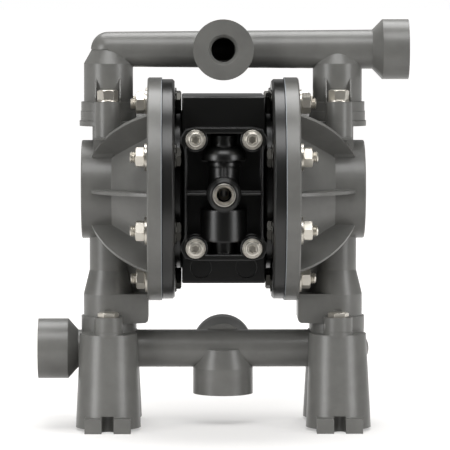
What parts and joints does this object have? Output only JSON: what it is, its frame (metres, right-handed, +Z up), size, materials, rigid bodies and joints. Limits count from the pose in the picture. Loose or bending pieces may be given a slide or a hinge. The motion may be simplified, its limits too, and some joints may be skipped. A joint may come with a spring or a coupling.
{
  "type": "air operated diaphragm pump",
  "caption": "Air operated diaphragm pump: ribbed grey fluid caps bolted to black air caps, air valve block in front, outlet manifold above, inlet manifold with slotted feet below.",
  "frame": {"origin": "on the floor under the middle of the pump, at the centre of its bounding box seen from above", "axes": "+X to the right along the diaphragm rod, towards the end port of the outlet manifold; +Y to the rear, away from the air inlet; +Z up"},
  "size_m": [0.264, 0.1592, 0.2898],
  "materials": {
    "grey_casting": "moulded, semi-matte",
    "black_cap": "satin",
    "black_body": "satin",
    "stainless": "plain",
    "inlet_metal": "machined",
    "elastomer": "matte",
    "plate_metal": "machined",
    "seat_plastic": "moulded",
    "bearing_plastic": "machined",
    "exhaust_plastic": "porous"
  },
  "bodies": {
    "pump_housing": {"fluid_cap_left": "grey_casting", "fluid_cap_right": "grey_casting", "outlet_manifold": "grey_casting", "inlet_manifold": "grey_casting", "air_cap_left": "black_cap", "air_cap_right": "black_cap", "centre_body": "black_body", "valve_block": "black_body", "cap_bolts_left": "stainless", "cap_bolts_right": "stainless", "cap_nuts_left": "stainless", "cap_nuts_right": "stainless", "cap_washers_left": "stainless", "cap_washers_right": "stainless", "upper_bolts": "stainless", "lower_bolts": "stainless", "valve_block_screws": "stainless", "air_inlet_insert": "inlet_metal", "diaphragm_left": "elastomer", "diaphragm_right": "elastomer", "body_gaskets": "elastomer", "valve_block_gasket": "elastomer", "rod_seals": "elastomer", "upper_seat_rings": "elastomer", "lower_seat_rings": "elastomer", "upper_seat_left": "seat_plastic", "upper_seat_right": "seat_plastic", "lower_seat_left": "seat_plastic", "lower_seat_right": "seat_plastic", "rod_bushings": "bearing_plastic", "pilot_sleeve": "bearing_plastic", "valve_sleeve": "bearing_plastic", "spool_plug": "bearing_plastic", "muffler": "exhaust_plastic", "exhaust_nipple": "exhaust_plastic"},
    "rod_assembly": {"connecting_rod": "stainless", "air_plate_left": "plate_metal", "air_plate_right": "plate_metal", "fluid_plate_left": "seat_plastic", "fluid_plate_right": "seat_plastic", "plate_screw_left": "stainless", "plate_screw_right": "stainless"},
    "pilot_assembly": {"pilot_spool": "plate_metal", "pilot_pins": "stainless"},
    "main_spool_body": {"main_spool": "plate_metal"},
    "upper_ball_left_body": {"upper_ball_left": "elastomer"},
    "upper_ball_right_body": {"upper_ball_right": "elastomer"},
    "lower_ball_left_body": {"lower_ball_left": "elastomer"},
    "lower_ball_right_body": {"lower_ball_right": "elastomer"}
  },
  "joints": [
    {"name": "diaphragm_stroke", "type": "slide", "parent": "pump_housing", "child": "rod_assembly", "axis": [1, 0, 0], "range_m": [-0.0055, 0.0055], "deforming": ["diaphragm_right", "diaphragm_left"]},
    {"name": "pilot_shift", "type": "slide", "parent": "pump_housing", "child": "pilot_assembly", "axis": [1, 0, 0], "range_m": [-0.00275, 0.00275]},
    {"name": "spool_shift", "type": "slide", "parent": "pump_housing", "child": "main_spool_body", "axis": [0, 0, 1], "range_m": [-0.0075, 0.0075]},
    {"name": "upper_ball_left_lift", "type": "slide", "parent": "pump_housing", "child": "upper_ball_left_body", "axis": [0, 0, 1], "range_m": [0, 0.0055]},
    {"name": "upper_ball_right_lift", "type": "slide", "parent": "pump_housing", "child": "upper_ball_right_body", "axis": [0, 0, 1], "range_m": [0, 0.0055]},
    {"name": "lower_ball_left_lift", "type": "slide", "parent": "pump_housing", "child": "lower_ball_left_body", "axis": [0, 0, 1], "range_m": [0, 0.0055]},
    {"name": "lower_ball_right_lift", "type": "slide", "parent": "pump_housing", "child": "lower_ball_right_body", "axis": [0, 0, 1], "range_m": [0, 0.0055]}
  ],
  "couplings": [
    {"joint": "pilot_shift", "follows": "diaphragm_stroke", "ratio": 0.5}
  ]
}
